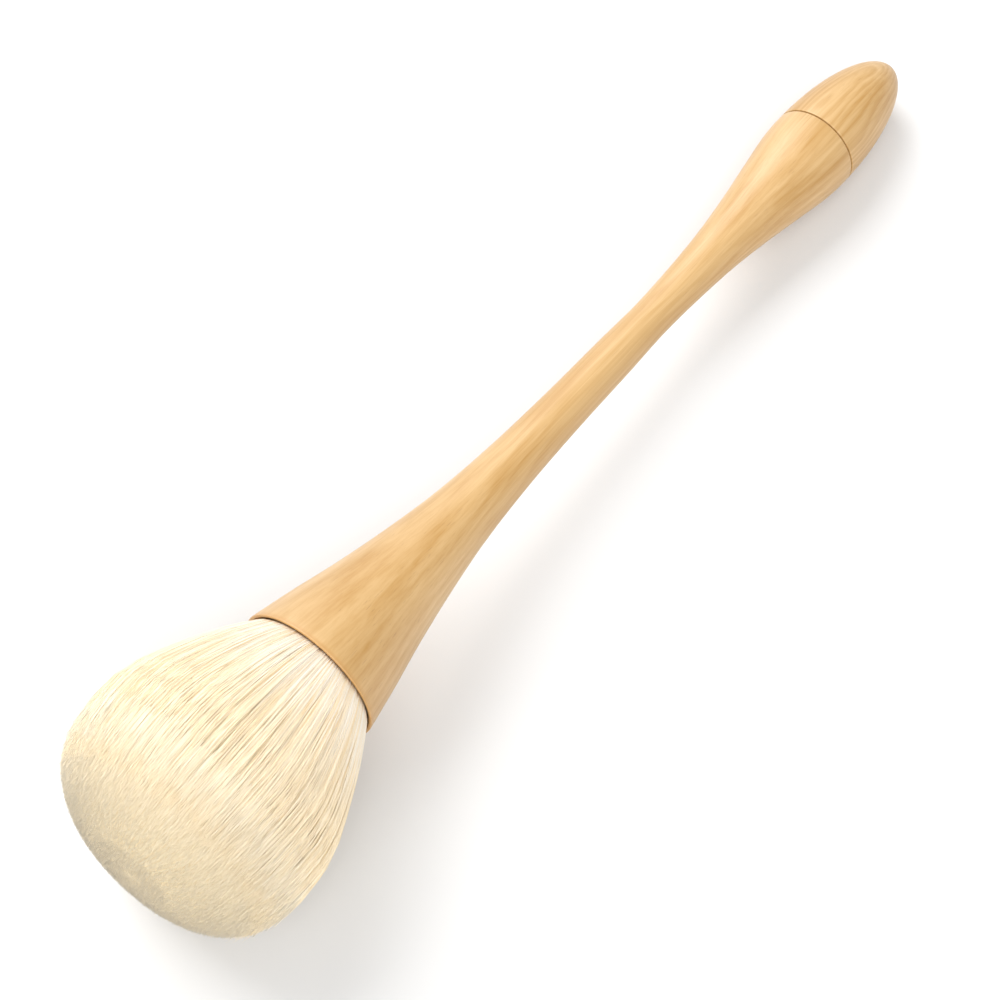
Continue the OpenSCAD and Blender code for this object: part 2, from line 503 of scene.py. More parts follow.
@dataclass(frozen=True)
class Moulding(Finish):
    """Bare plastic or another plain made surface.

    Attributes:
        name: the material's name.
        colour: its colour.
        other: the colour it drifts towards.
        rough: its roughness.
        metal: 1 for a metal.
        cell: size of its finest unevenness, in millimetres.
        relief: depth of that unevenness, in millimetres.
    """

    name: str
    colour: Colour
    other: Colour
    rough: float = 0.5
    metal: float = 0.0
    cell: float = 0.4
    relief: float = 0.01

    def material(self) -> bpy.types.Material:
        """Builds a drifting colour over fine relief."""
        material, nodes, shader = self.start()
        place = nodes.group(PLACE).outputs["Place"]
        surface = nodes.group(SURFACE, {"Place": place, "Cell": self.cell,
                                        "Roughness": self.rough, "Spread": 0.15})
        share = nodes.span(surface.outputs["Shade"], 0.3, 0.7)
        nodes.feed(shader.inputs["Base Color"], nodes.blend(share, rgba(self.colour), rgba(self.other)))
        nodes.feed(shader.inputs["Roughness"], surface.outputs["Roughness"])
        shader.inputs["Metallic"].default_value = self.metal
        self.bump(nodes, shader, surface.outputs["Height"], self.relief, 0.6)
        return material


@dataclass(frozen=True)
class TurnedMetal(Finish):
    """Metal with the fine rings that a lathe leaves.

    Attributes:
        name: the material's name.
        colour: the metal's colour.
        rough: its roughness.
        pitch: distance between tool marks, in millimetres.
    """

    name: str
    colour: Colour
    rough: float = 0.3
    pitch: float = 0.18

    def material(self) -> bpy.types.Material:
        """Builds tool marks around the axis over a slightly uneven metal."""
        material, nodes, shader = self.start()
        place = nodes.group(PLACE).outputs["Place"]
        surface = nodes.group(SURFACE, {"Place": place, "Cell": 0.3,
                                        "Roughness": self.rough, "Spread": 0.25})
        parts = nodes.add("SeparateXYZ", {"Vector": place})
        phase = nodes.maths("MULTIPLY", parts.outputs["X"], math.tau / self.pitch)
        marks = nodes.maths("ADD", nodes.maths("SINE", phase), surface.outputs["Height"])
        dull = tuple(0.8 * c for c in self.colour)
        share = nodes.span(surface.outputs["Shade"], 0.3, 0.7)
        nodes.feed(shader.inputs["Base Color"], nodes.blend(share, rgba(self.colour), rgba(dull)))
        nodes.feed(shader.inputs["Roughness"], surface.outputs["Roughness"])
        shader.inputs["Metallic"].default_value = 1.0
        self.bump(nodes, shader, marks, 0.004, 0.5)
        return material


@dataclass(frozen=True)
class OpenFoam(Finish):
    """Open-celled foam.

    Attributes:
        name: the material's name.
        wall: colour of the cell walls.
        hollow: painted shade deep in the cells.
        cell: size of a cell, in millimetres.
    """

    name: str
    wall: Colour = (0.10, 0.10, 0.11)
    hollow: Colour = (0.015, 0.015, 0.017)
    cell: float = 0.45

    def material(self) -> bpy.types.Material:
        """Builds cells from the distance to the nearest cell edge, with painted shade deep in each cell."""
        material, nodes, shader = self.start()
        place = nodes.group(PLACE).outputs["Place"]
        cells = nodes.add("TexVoronoi", {"Vector": place, "Scale": 1 / self.cell},
                          feature="DISTANCE_TO_EDGE")
        depth = nodes.span(cells.outputs["Distance"], 0.02, 0.32)
        # Painted shade: the colour darkens to near black away from the cell walls.
        nodes.feed(shader.inputs["Base Color"], nodes.blend(depth, rgba(self.wall), rgba(self.hollow)))
        shader.inputs["Roughness"].default_value = 0.95
        self.bump(nodes, shader, nodes.maths("SUBTRACT", 1.0, depth), 0.18, 1.0)
        return material


@dataclass(frozen=True)
class Filament(Finish):
    """Fine tapered synthetic filament, read along each strand's own map.

    Attributes:
        name: the material's name.
        root: painted shadow on the strands just above the lip, where they go into the mouth.
        ivory: colour of the palest strands.
        gold: colour of the warmest strands, partly their own tone and partly painted shade deep in the tuft
            and by the partings.
        tip: colour that the fine ends tend to.
    """

    name: str
    root: Colour = (0.50, 0.29, 0.10)
    ivory: Colour = (0.965, 0.92, 0.835)
    gold: Colour = (0.93, 0.72, 0.41)
    tip: Colour = (0.955, 0.825, 0.595)

    def material(self) -> bpy.types.Material:
        """Builds a colour from the strand's tone across its map and the height up the strand, with painted
        shadow at the mouth.
        """
        material, nodes, shader = self.start()
        strand = nodes.add("UVMap", uv_map=STRAND_MAP)
        parts = nodes.add("SeparateXYZ", {"Vector": strand.outputs[0]})
        tone, height = nodes.span(parts.outputs["X"], 0.0, 1.0), parts.outputs["Y"]
        colour = nodes.blend(tone, rgba(self.ivory), rgba(self.gold))
        # Painted shadow: the strands turn brown just above the lip, where they go into the mouth.
        colour = nodes.blend(nodes.span(height, 0.03, 0.075, 0.85, 0.0), colour, rgba(self.root))
        colour = nodes.blend(nodes.span(height, 0.12, 0.6, 0.0, 0.8), colour, rgba(self.tip))
        nodes.feed(shader.inputs["Base Color"], colour)
        shader.inputs["Roughness"].default_value = 0.5
        shader.inputs["Specular IOR Level"].default_value = 0.35
        shader.inputs["Sheen Weight"].default_value = 0.25
        shader.inputs["Sheen Roughness"].default_value = 0.4
        return material


@dataclass(frozen=True)
class PackedFilament(Finish):
    """The dense inside of the tuft, streaked along the strands.

    Attributes:
        name: the material's name.
        light: colour of the strands that show.
        dark: painted shade in the gaps between them.
    """

    name: str
    light: Colour = (0.95, 0.83, 0.58)
    dark: Colour = (0.86, 0.66, 0.36)

    def material(self) -> bpy.types.Material:
        """Builds streaks that run with the strands, with painted shade in the gaps between them."""
        material, nodes, shader = self.start()
        place = nodes.group(PLACE)
        parts = nodes.add("SeparateXYZ", {"Vector": place.outputs["Place"]})
        streaks = nodes.add("CombineXYZ", {
            "X": nodes.maths("MULTIPLY", parts.outputs["X"], 0.05),
            "Y": nodes.maths("MULTIPLY", place.outputs["Around"], 150.0), "Z": 0.0})
        mask = nodes.add("TexNoise", {"Vector": streaks.outputs[0], "Scale": 1.0, "Detail": 3.0})
        share = nodes.span(mask.outputs["Fac"], 0.35, 0.65)
        # Painted shade: the darker streaks stand for the gaps between strands.
        nodes.feed(shader.inputs["Base Color"], nodes.blend(share, rgba(self.light), rgba(self.dark)))
        shader.inputs["Roughness"].default_value = 0.8
        self.bump(nodes, shader, mask.outputs["Fac"], 0.2, 0.6)
        return material


@dataclass(frozen=True)
class PaleFloor(Finish):
    """Plain matt table top.

    Attributes:
        name: the material's name.
        colour: its colour.
    """

    name: str = "pale_floor"
    colour: Colour = (0.74, 0.74, 0.74)

    def material(self) -> bpy.types.Material:
        """Builds one even colour."""
        material, _, shader = self.start()
        for name, value in (("Base Color", rgba(self.colour)), ("Roughness", 0.9),
                            ("Specular IOR Level", 0.1)):
            shader.inputs[name].default_value = value
        return material


# ---------------------------------------------------------------------------------------------
# Meshes
# ---------------------------------------------------------------------------------------------


def rounded(corner: tuple[float, float], before: tuple[float, float], after: tuple[float, float],
            radius: float, steps: int = 4) -> Outline:
    """Rounds one corner of an outline.

    Args:
        corner: the corner, as (radius, height).
        before: the point the outline comes from.
        after: the point it goes to.
        radius: how far from the corner the rounding starts.
        steps: how many straight pieces it has.

    Returns:
        The points that replace the corner.
    """
    c, b, a = (Vector((*p, 0)) for p in (corner, before, after))
    start = c + (b - c).normalized() * radius
    end = c + (a - c).normalized() * radius
    points = [start * (1 - t) ** 2 + c * 2 * t * (1 - t) + end * t * t
              for t in (i / steps for i in range(steps + 1))]
    return [(p.x, p.y) for p in points]


def with_round_corners(outline: Outline, radii: dict[int, float]) -> Outline:
    """The outline with the corners at some of its indices rounded."""
    done: Outline = []
    for i, point in enumerate(outline):
        if i in radii:
            done += rounded(point, outline[i - 1], outline[(i + 1) % len(outline)], radii[i])
        else:
            done.append(point)
    return done


def finish_mesh(bm: bmesh.types.BMesh, name: str, place: Matrix) -> bpy.types.Object:
    """Lays a mesh in its place and makes it an object at the origin.

    Args:
        bm: the mesh, which is freed.
        name: the object's name.
        place: the matrix that lays it down.

    Returns:
        The object.
    """
    bmesh.ops.transform(bm, matrix=place, verts=bm.verts)
    for face in bm.faces:
        face.smooth = True
    for edge in bm.edges:
        edge.smooth = len(edge.link_faces) < 2 or edge.calc_face_angle(0.0) < math.radians(38)
    mesh = bpy.data.meshes.new(name)
    bm.to_mesh(mesh)
    bm.free()
    piece = bpy.data.objects.new(name, mesh)
    bpy.context.scene.collection.objects.link(piece)
    return piece


def turned(outline: Outline, steps: int = 96) -> bmesh.types.BMesh:
    """Spins an outline of (radius, height) points about the axis into a closed solid.

    Args:
        outline: the points in order. Both ends on the axis, or a closed loop clear of it.
        steps: number of steps in the full turn.

    Returns:
        The mesh, about Z, in millimetres.
    """
    bm = bmesh.new()
    points = [bm.verts.new((radius, 0, height)) for radius, height in outline]
    edges = [bm.edges.new(pair) for pair in zip(points, points[1:])]
    if outline[0][0] > 0 and outline[-1][0] > 0:
        edges.append(bm.edges.new((points[-1], points[0])))
    bmesh.ops.spin(bm, geom=points + edges, cent=(0, 0, 0), axis=(0, 0, 1), dvec=(0, 0, 0),
                   angle=math.tau, steps=steps, use_merge=True, use_duplicate=False)
    bmesh.ops.remove_doubles(bm, verts=bm.verts, dist=1e-4)
    bmesh.ops.recalc_face_normals(bm, faces=bm.faces)
    return bm


def dress(piece: bpy.types.Object, *materials: bpy.types.Material) -> None:
    """Gives a piece its materials, in slot order."""
    piece.data.materials.clear()
    for material in materials:
        piece.data.materials.append(material)


def dress_node(node: str, finish: Finish) -> None:
    """Gives a carried-over CAD node a better material."""
    piece = frame["nodes"][node]
    piece.material_slots[0].link = "OBJECT"
    piece.material_slots[0].material = finish.material()
    log.info("%s keeps its packed shape", node)


def settle(piece: bpy.types.Object, body: Body, slot: Slot, *nodes: str) -> None:
    """Makes a piece ride on its body and stand for its CAD nodes.

    Args:
        piece: the piece.
        body: the body that it rides on.
        slot: its material slot in the record; not used.
        nodes: the CAD nodes that it replaces, if any.
    """
    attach(piece, body.value)
    if nodes:
        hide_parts(*nodes)
    log.info("%s: %d faces on %s", piece.name, len(piece.data.polygons), body.value)


# ---------------------------------------------------------------------------------------------
# The handle and its cap
# ---------------------------------------------------------------------------------------------


def bare_plastic(name: str) -> Moulding:
    """The tan plastic that shows where there is no wood look."""
    return Moulding(name, (0.62, 0.37, 0.13), (0.54, 0.31, 0.10), 0.45)


@dataclass
class HandleShell:
    """The moulded trumpet, waist and bulb. Lengths are in millimetres.

    Attributes:
        wall: thickness of the wall at the mouth.
        ledge: narrowing behind the seat.
        seat_depth: depth of the cup's seat.
        seat_end: radius of the seat at its inner end.
        core_depth: depth of the hollow behind the mouth.
        bore: radius of the bore for the cap's spigot.
        weight_bore: radius of the narrow bore for the counterweight.
        lip: rounding of the mouth's edge.
        lip_wall: thickness of the wall at the very edge of the mouth.
        bevel: depth of the bevel that thins the wall there.
        edge: rounding of the other edges.
        end_edge: rounding of the outer edge at the seam.
        bore_edge: rounding of the spigot bore's edge.
        step: spacing of the outline's points.
        finish: the finish of the outside.
        bare: the finish of the inside.
    """

    wall: float = 1.5
    ledge: float = 0.8
    seat_depth: float = 18.0
    seat_end: float = 7.6
    core_depth: float = 46.0
    bore: float = 6.5
    weight_bore: float = 4.2
    lip: float = 0.25
    lip_wall: float = 0.5
    bevel: float = 1.2
    edge: float = 0.1
    end_edge: float = 0.16
    bore_edge: float = 0.2
    step: float = 1.0
    finish: Finish = field(default_factory=lambda: WoodLook("wood_look_on_handle"))
    bare: Finish = field(default_factory=lambda: bare_plastic("bare_tan_plastic"))

    def outside(self) -> Curve:
        """The handle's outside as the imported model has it."""
        return Curve.through(AXIS.rings("handle_shell"))

    def outline(self) -> Outline:
        """The full outline, from the hollow's end round the outside to the weight's bore."""
        outside = self.outside()
        end = outside.stations[0][0]
        weight_low, weight_high = AXIS.span("counterweight")
        mouth = float(AXIS.rings("handle_shell")[-1][1]) + self.lip

        def radius(height: float) -> float:
            """The outside radius at a height."""
            return float(outside.at(np.array(height)))

        hollow = [(radius(-d) - self.wall - self.ledge, -d)
                  for d in np.arange(self.core_depth, self.seat_depth - 1, -4.0)]
        front = [(0.0, -self.core_depth), *hollow, (self.seat_end, -self.seat_depth)]
        widening = (mouth - self.wall - self.seat_end) / self.seat_depth
        front += with_round_corners(
            [(self.seat_end, -self.seat_depth), (mouth - self.wall - widening * self.bevel, -self.bevel),
             (mouth - self.lip_wall, 0.0), (mouth, 0.0), (radius(-4.0), -4.0)],
            {2: self.edge, 3: self.lip})[1:-1]
        sides = [(radius(-d), -d) for d in np.arange(2.0, -end - 1.0, self.step)]
        rear = with_round_corners(
            [sides[-1], (radius(end), end), (self.bore, end), (self.bore, weight_low)],
            {1: self.end_edge, 2: self.bore_edge})[1:]
        rear += [(self.weight_bore, weight_low), (self.weight_bore, weight_high), (0.0, weight_high)]
        return front + sides + rear

    def build(self) -> None:
        """Turns the handle, parts its outside from its bare inside and settles it."""
        outside = self.outside()
        bm = turned(self.outline(), TURN_STEPS)
        for face in bm.faces:
            middle = face.calc_center_median()
            skin = math.hypot(middle.x, middle.y) > float(outside.at(np.array(middle.z))) - 0.4
            face.material_index = 0 if skin or middle.z > -0.5 else 1
        piece = finish_mesh(bm, "handle", AXIS.matrix)
        dress(piece, self.finish.material(), self.bare.material())
        settle(piece, Body.HANDLE, Slot.HANDLE_WOOD, "handle_shell")


@dataclass
class EndCap:
    """The domed cap with its hollow spigot. Lengths are in millimetres.

    Attributes:
        spigot: radius of the spigot.
        wall: thickness of the wall.
        step: turn between the dome's points, in degrees.
        finish: the finish of the dome.
        bare: the finish of the spigot and the inside.
    """

    spigot: float = 6.45
    wall: float = 1.4
    step: int = 3
    finish: Finish = field(default_factory=lambda: WoodLook(
        "wood_look_on_cap", heart=(-150.0, -9.0, 12.5), ring_gap=1.5, ring_share=0.36, swirl=1.5))
    bare: Finish = field(default_factory=lambda: bare_plastic("bare_tan_plastic_of_cap"))

    @staticmethod
    def shoulder() -> tuple[float, float]:
        """Height and radius of the cap's widest ring, at the seam."""
        return max(AXIS.rings("end_cap"), key=lambda ring: ring[1])

    def outline(self) -> Outline:
        """The cap's closed outline, from its tip round the dome, the shoulder and the spigot."""
        tip, spigot_end = AXIS.span("end_cap")
        shoulder, widest = self.shoulder()
        length, inside = shoulder - tip, self.spigot - self.wall
        turns = [math.radians(a) for a in range(90, 3, -self.step)]
        dome = [(widest * math.cos(a), shoulder - length * math.sin(a)) for a in turns]
        dome[0] = (0.0, tip)
        shoulder_and_spigot = with_round_corners(
            [dome[-1], (widest, shoulder), (self.spigot, shoulder), (self.spigot, spigot_end),
             (inside, spigot_end), (inside, shoulder)], {1: 0.16, 3: 0.35, 4: 0.15})[1:]
        hollow = [(inside * math.cos(a), shoulder - (length - self.wall) * math.sin(a))
                  for a in (math.radians(b) for b in range(6, 91, 6))]
        hollow[-1] = (0.0, tip + self.wall)
        return dome + shoulder_and_spigot + hollow

    def build(self) -> None:
        """Turns the cap and settles it on its own body."""
        tip, _ = AXIS.span("end_cap")
        shoulder, widest = self.shoulder()
        bm = turned(self.outline(), TURN_STEPS)
        for face in bm.faces:
            middle = face.calc_center_median()
            share = min(1.0, max(0.0, (shoulder - middle.z) / (shoulder - tip)))
            skin = math.hypot(middle.x, middle.y) > widest * math.sqrt(1 - share**2) - 0.6
            face.material_index = 0 if skin and middle.z < shoulder + 0.01 else 1
        piece = finish_mesh(bm, "domed_cap", AXIS.matrix)
        dress(piece, self.finish.material(), self.bare.material())
        settle(piece, Body.CAP, Slot.CAP_WOOD, "end_cap")


@dataclass
class BalanceWeight:
    """The steel slug and the foam disc over it. Lengths are in millimetres.

    Attributes:
        crown: how far the foam's faces bulge.
        edge: rounding of the foam's edges.
    """

    crown: float = 0.15
    edge: float = 0.35

    def build(self) -> None:
        """Dresses the slug and builds the foam disc."""
        dress_node("counterweight", TurnedMetal("turned_steel", (0.52, 0.52, 0.53)))
        low, high = AXIS.span("foam_disc")
        radius = AXIS.rings("foam_disc")[0][1]
        steps = [i / 8 for i in range(9)]
        low_face = [(radius * t, low + self.crown * t * t) for t in steps]
        high_face = [(radius * t, high - self.crown * t * t) for t in reversed(steps)]
        corner = len(low_face) - 1
        outline = with_round_corners(low_face + high_face, {corner: self.edge, corner + 1: self.edge})
        piece = finish_mesh(turned(outline), "foam_disc_pad", AXIS.matrix)
        dress(piece, OpenFoam("dark_open_foam").material())
        settle(piece, Body.HANDLE, Slot.FOAM, "foam_disc")


# ---------------------------------------------------------------------------------------------
# The knot and the bristles
# ---------------------------------------------------------------------------------------------


@dataclass
class BristleKnot:
    """The cup, the resin, the glue and the thread that hold the roots.

    Attributes:
        thread: thickness of the thread, in millimetres.
        turns: number of turns of thread.
        steps: steps in each turn.
    """

    thread: float = 0.8
    turns: int = 4
    steps: int = 72

    def build(self) -> None:
        """Dresses the knot's CAD nodes and winds the thread."""
        dress_node("bristle_cup", TurnedMetal("drawn_aluminium", (0.80, 0.80, 0.81), 0.35))
        dress_node("knot_resin", Moulding("amber_resin", (0.50, 0.27, 0.08), (0.36, 0.17, 0.04), 0.15,
                                          cell=1.5))
        dress_node("glue_ring", Moulding("clear_glue", (0.80, 0.72, 0.50), (0.70, 0.60, 0.38), 0.2,
                                         cell=0.8))
        self.wind_thread()

    def wind_thread(self) -> None:
        """Winds the thread as one helix of full turns."""
        low, high = AXIS.span("binding_thread")
        radius = max(r for _, r in AXIS.rings("binding_thread")) - self.thread / 2
        rise = high - low - self.thread
        bm = bmesh.new()
        start = Matrix.Translation((radius, 0, low + self.thread / 2)) @ Matrix.Rotation(math.pi / 2, 4, "X")
        bmesh.ops.create_circle(bm, cap_ends=False, segments=12, radius=self.thread / 2, matrix=start)
        steps = self.turns * self.steps
        bmesh.ops.spin(bm, geom=bm.edges[:], cent=(0, 0, 0), axis=(0, 0, 1), dvec=(0, 0, rise / steps),
                       angle=math.tau * self.turns, steps=steps, use_merge=False, use_duplicate=False)
        bmesh.ops.remove_doubles(bm, verts=bm.verts, dist=1e-4)
        bmesh.ops.holes_fill(bm, edges=[e for e in bm.edges if e.is_boundary], sides=0)
        bmesh.ops.recalc_face_normals(bm, faces=bm.faces)
        piece = finish_mesh(bm, "wound_thread", AXIS.matrix)
        dress(piece, Moulding("cotton_thread", (0.85, 0.82, 0.74), (0.74, 0.70, 0.60), 0.85,
                              cell=0.15, relief=0.05).material())
        settle(piece, Body.HANDLE, Slot.THREAD, "binding_thread")


@dataclass(frozen=True)
class TuftShape:
    """The outer shape of the tuft. Lengths are in millimetres from the mouth.

    Attributes:
        widest: largest radius.
        wide_at: distance to the widest part.
        length: distance to the tip.
        flank: radius of the flank up to the widest part.
        throat: how fast the tuft narrows behind the mouth, for each millimetre.
        tuck: how fast the outermost strands bend back in past the widest part.
        power: roundness of the dome along the axis.
        power_across: roundness of the dome across it.
        lean: sideways lean of the tip.
    """

    widest: float
    wide_at: float
    length: float
    flank: Curve
    throat: float = 1.15
    tuck: float = 0.012
    power: float = 2.7
    power_across: float = 2.5
    lean: float = 1.6

    @classmethod
    def of_frame(cls) -> "TuftShape":
        """Reads the tuft's shape from the packed bristle head."""
        rings = [ring for ring in AXIS.rings("bristle_head") if ring[0] >= -0.005]
        wide_at, widest = max(rings, key=lambda ring: ring[1])
        side = [ring for ring in rings if ring[0] <= wide_at + 0.01]
        return cls(widest, wide_at, rings[-1][0], Curve.through(side, 1.0))

    def sheath(self, height: np.ndarray) -> np.ndarray:
        """Radius of the outermost strands' path, carried on past the widest part."""
        inside = self.flank.at(np.clip(height, 0, self.wide_at))
        past = np.clip(height - self.wide_at, 0, None)
        out = np.clip(height, 0, None)
        fill = 0.15 * np.exp(-((out / 2.5) ** 2)) + 0.25 * out * np.exp(-out / 1.1)
        return inside + fill - self.tuck * past**2 + self.throat * np.clip(height, -3.0, 0)

    def dome(self, height: np.ndarray) -> np.ndarray:
        """Radius of the trimmed dome at a height past the widest part."""
        share = np.clip((height - self.wide_at) / (self.length - self.wide_at), 0, 1)
        return self.widest * (1 - share**self.power) ** (1 / self.power_across)

    def dome_normal(self, turn: np.ndarray, radius: np.ndarray, height: np.ndarray) -> np.ndarray:
        """The trimmed dome's normal.

        Args:
            turn: the places' angles about the axis.
            radius: their distances from the axis.
            height: their heights.

        Returns:
            One unit vector for each place, about the brush's axis.
        """
        deep = self.length - self.wide_at
        share = np.clip((height - self.wide_at) / deep, 0, 1)
        aside = self.power_across / self.widest * (radius / self.widest) ** (self.power_across - 1)
        ahead = self.power / deep * share ** (self.power - 1)
        normal = np.stack([aside * np.cos(turn), aside * np.sin(turn), ahead], -1)
        return normal / np.linalg.norm(normal, axis=-1, keepdims=True)

    def tip_height(self, layer: np.ndarray) -> np.ndarray:
        """Height at which strands of a layer end, where 1 is outermost and 0 is on the axis."""
        heights = np.linspace(self.wide_at, self.length, 400)
        share = np.minimum.accumulate(self.dome(heights) / self.sheath(heights))
        return np.interp(-layer, -share, heights)


@dataclass(frozen=True)
class Partings:
    """Long narrow gaps where the outer strands part. Lengths are in millimetres.

    Attributes:
        count: number of partings round the tuft.
        low: least height of a parting's middle.
        high: greatest height of a parting's middle.
        reach: least and greatest half length.
        gap: least and greatest half width.
        sink: how far the strands at a parting's edge dip.
        seed: start of the random draws.
    """

    count: int = 200
    low: float = 9.5
    high: float = 29.0
    reach: tuple[float, float] = (4.0, 8.0)
    gap: tuple[float, float] = (0.03, 0.11)
    sink: float = 0.1
    seed: int = 5

    def push(self, angle: np.ndarray, radius: np.ndarray, height: np.ndarray
             ) -> tuple[np.ndarray, np.ndarray, np.ndarray]:
        """How far the partings move each strand, and how near it runs to one.

        Args:
            angle: one angle for each strand.
            radius: the strands' radii, ring by ring.
            height: the strands' heights, ring by ring.

        Returns:
            Distances sideways and inwards and nearness to a parting, ring by ring.
        """
        draw = np.random.default_rng(self.seed)
        aside, inward, close = (np.zeros_like(height) for _ in range(3))
        for _ in range(self.count):
            middle, at = draw.uniform(self.low, self.high), draw.uniform(-math.pi, math.pi)
            reach, gap = draw.uniform(*self.reach), draw.uniform(*self.gap)
            apart = (angle - at + math.pi) % math.tau - math.pi
            near = np.abs(apart) < 0.3
            arc = apart[near, None] * radius[near]
            window = np.clip(1 - ((height[near] - middle) / reach) ** 2, 0, 1) ** 1.3
            aside[near] += 0.6 * np.sign(arc) * gap * window * np.exp(-np.abs(arc) / (2.2 * gap))
            inward[near] += self.sink * window * np.exp(-((arc / (2 * gap)) ** 2))
            close[near] += window * np.exp(-((arc / (2.6 * gap)) ** 2))
        return aside, inward, np.clip(close, 0, 1)


@dataclass(frozen=True)
class StrandLayer:
    """One layer of strands, all made from the same tapered prism. Lengths are in millimetres.

    Attributes:
        name: the pieces' name.
        pieces: number of pieces the layer is split into.
        strands: strands in each piece.
        inner: the innermost layer share, where 1 is the tuft's surface.
        rings: heights along a strand, as shares of its length.
        depth: how far below its tip a strand starts, or None to start in the mouth.
        thick: radius of a strand.
        uneven: spread of the heights that strands end at.
        fuzz: spread of the distance that ends stand out.
        tint: spread of the strands' tones.
        cross: spread of the angle that strands turn through on their way, in radians.
        stray: share of strands that stand off the tuft.
        lift: how far the shading follows the tuft's surface and not the strands' own faces.
    """

    name: str
    pieces: int
    strands: int
    inner: float
    rings: tuple[float, ...]
    depth: float | None
    thick: float
    uneven: float
    fuzz: float
    tint: float
    cross: float
    stray: float
    lift: float

    def template(self) -> bmesh.types.BMesh:
        """One strand: a three-sided prism closed at its root and drawn to a point at its tip."""
        bm = bmesh.new()
        bmesh.ops.create_circle(bm, cap_ends=True, segments=3, radius=1.0)
        ring, corners = bm.edges[:], bm.verts[:]
        for _ in self.rings[1:]:
            grown = bmesh.ops.extrude_edge_only(bm, edges=ring)["geom"]
            corners = [g for g in grown if isinstance(g, bmesh.types.BMVert)]
            ring = [g for g in grown if isinstance(g, bmesh.types.BMEdge)]
            bmesh.ops.translate(bm, vec=(0, 0, 1), verts=corners)
        bmesh.ops.pointmerge(bm, verts=corners, merge_co=(0, 0, len(self.rings) - 1))
        bmesh.ops.recalc_face_normals(bm, faces=bm.faces)
        return bm


@dataclass(frozen=True)
class SingleStrand:
    """A layer's single strand as arrays.

    Attributes:
        corner: the angle of each vertex about the strand's own line.
        width: 1 for a vertex on a ring and 0 for the tip.
        ring: the ring that each vertex is on.
    """

    corner: np.ndarray
    width: np.ndarray
    ring: np.ndarray

    @classmethod
    def of_mesh(cls, mesh: bpy.types.Mesh) -> "SingleStrand":
        """Reads the arrays from the single strand's mesh."""
        places = np.array([v.co for v in mesh.vertices])
        away = np.hypot(places[:, 0], places[:, 1])
        return cls(np.arctan2(places[:, 1], places[:, 0]), np.where(away > 0.5, 1.0, 0.0),
                   np.rint(places[:, 2]).astype(int))


@dataclass(frozen=True)
class StrandPaths:
    """The lines that a piece's strands follow, ring by ring unless it says otherwise.

    Attributes:
        angle: the angle that each strand starts at, one for each strand.
        depth: each strand's layer share, one for each strand.
        off: how far each stray strand stands off, one for each strand.
        height: heights above the mouth.
        radius: distances from the axis.
        turn: angles about the axis.
        close: nearness to a parting.
        points: the lines' points.
    """

    angle: np.ndarray
    depth: np.ndarray
    off: np.ndarray
    height: np.ndarray
    radius: np.ndarray
    turn: np.ndarray
    close: np.ndarray
    points: np.ndarray


